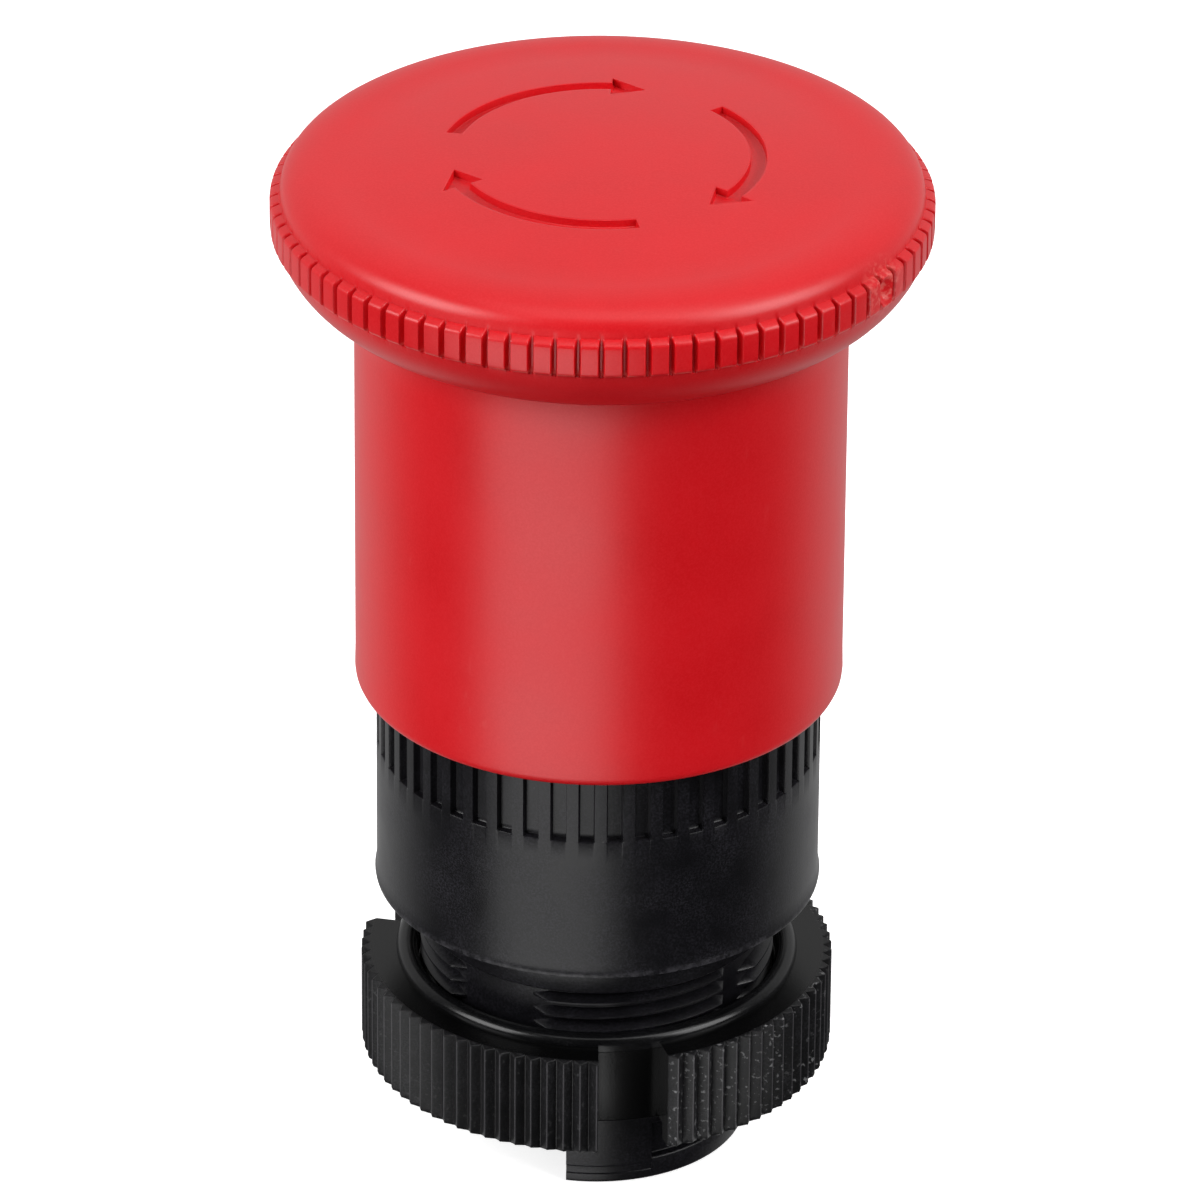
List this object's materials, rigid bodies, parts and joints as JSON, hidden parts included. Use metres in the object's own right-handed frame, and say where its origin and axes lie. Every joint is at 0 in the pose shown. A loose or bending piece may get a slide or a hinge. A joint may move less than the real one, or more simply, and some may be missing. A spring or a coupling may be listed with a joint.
{
  "type": "emergency stop button",
  "caption": "Panel-mounted emergency stop operator: red turn-to-release mushroom head on a black threaded body with a knurled fixing nut.",
  "frame": {"origin": "centre of the bezel's underside, where it rests on the panel's front face", "axes": "+Z out of the panel along the push axis; -Y is the front, with a gap in the nut's grip just right of it"},
  "size_m": [0.04, 0.04, 0.067],
  "materials": {
    "red_cap_plastic": "satin moulded",
    "black_body_plastic": "satin moulded",
    "black_nut_plastic": "satin moulded",
    "gloss_ring_plastic": "polished",
    "seal_rubber": "matt",
    "white_bearing_plastic": "satin",
    "grey_plunger_plastic": "satin",
    "spring_steel": "drawn wire and stamped strip",
    "washer_steel": "zinc plated",
    "spindle_alloy": "die cast"
  },
  "bodies": {
    "housing": {"bezel_body": "black_body_plastic", "panel_gasket": "seal_rubber", "guide_bush": "white_bearing_plastic", "lower_spring_seat": "washer_steel", "return_spring": "spring_steel", "latch_plate": "white_bearing_plastic", "latch_spring": "spring_steel", "top_guide": "white_bearing_plastic", "guide_clip": "spring_steel", "shaft_seal": "seal_rubber", "skirt_wiper": "seal_rubber"},
    "plunger": {"pusher": "grey_plunger_plastic", "pusher_foot": "grey_plunger_plastic", "upper_spring_seat": "washer_steel", "thrust_washer": "washer_steel", "turn_return_spring": "spring_steel", "stop_bumper": "seal_rubber"},
    "cap": {"mushroom_cap": "red_cap_plastic", "cap_clip": "spring_steel", "spindle": "spindle_alloy", "spindle_circlip": "spring_steel"},
    "slip_ring": {"nut_slip_ring": "gloss_ring_plastic"},
    "nut": {"mounting_nut": "black_nut_plastic"}
  },
  "joints": [
    {"name": "cap_push", "type": "slide", "parent": "housing", "child": "plunger", "axis": [0, 0, -1], "range_m": [0, 0.0043], "stiffness_N_per_m": 1500, "springref_m": -0.004, "deforming": ["return_spring", "latch_spring"]},
    {"name": "cap_turn", "type": "hinge", "parent": "plunger", "child": "cap", "pos_m": [0, 0, 0.02], "axis": [0, 0, -1], "range_deg": [0, 45], "stiffness_Nm_per_rad": 0.04, "springref_deg": -17.19, "deforming": ["turn_return_spring"]},
    {"name": "nut_travel", "type": "slide", "parent": "housing", "child": "slip_ring", "axis": [0, 0, 1], "range_m": [-0.001, 0.0029]},
    {"name": "nut_turn", "type": "hinge", "parent": "slip_ring", "child": "nut", "pos_m": [0, 0, -0.0085], "axis": [0, 0, 1], "range_deg": [-360, 1044]}
  ],
  "couplings": [
    {"joint": "nut_turn", "follows": "nut_travel", "rad_per_m": 6283.2}
  ]
}
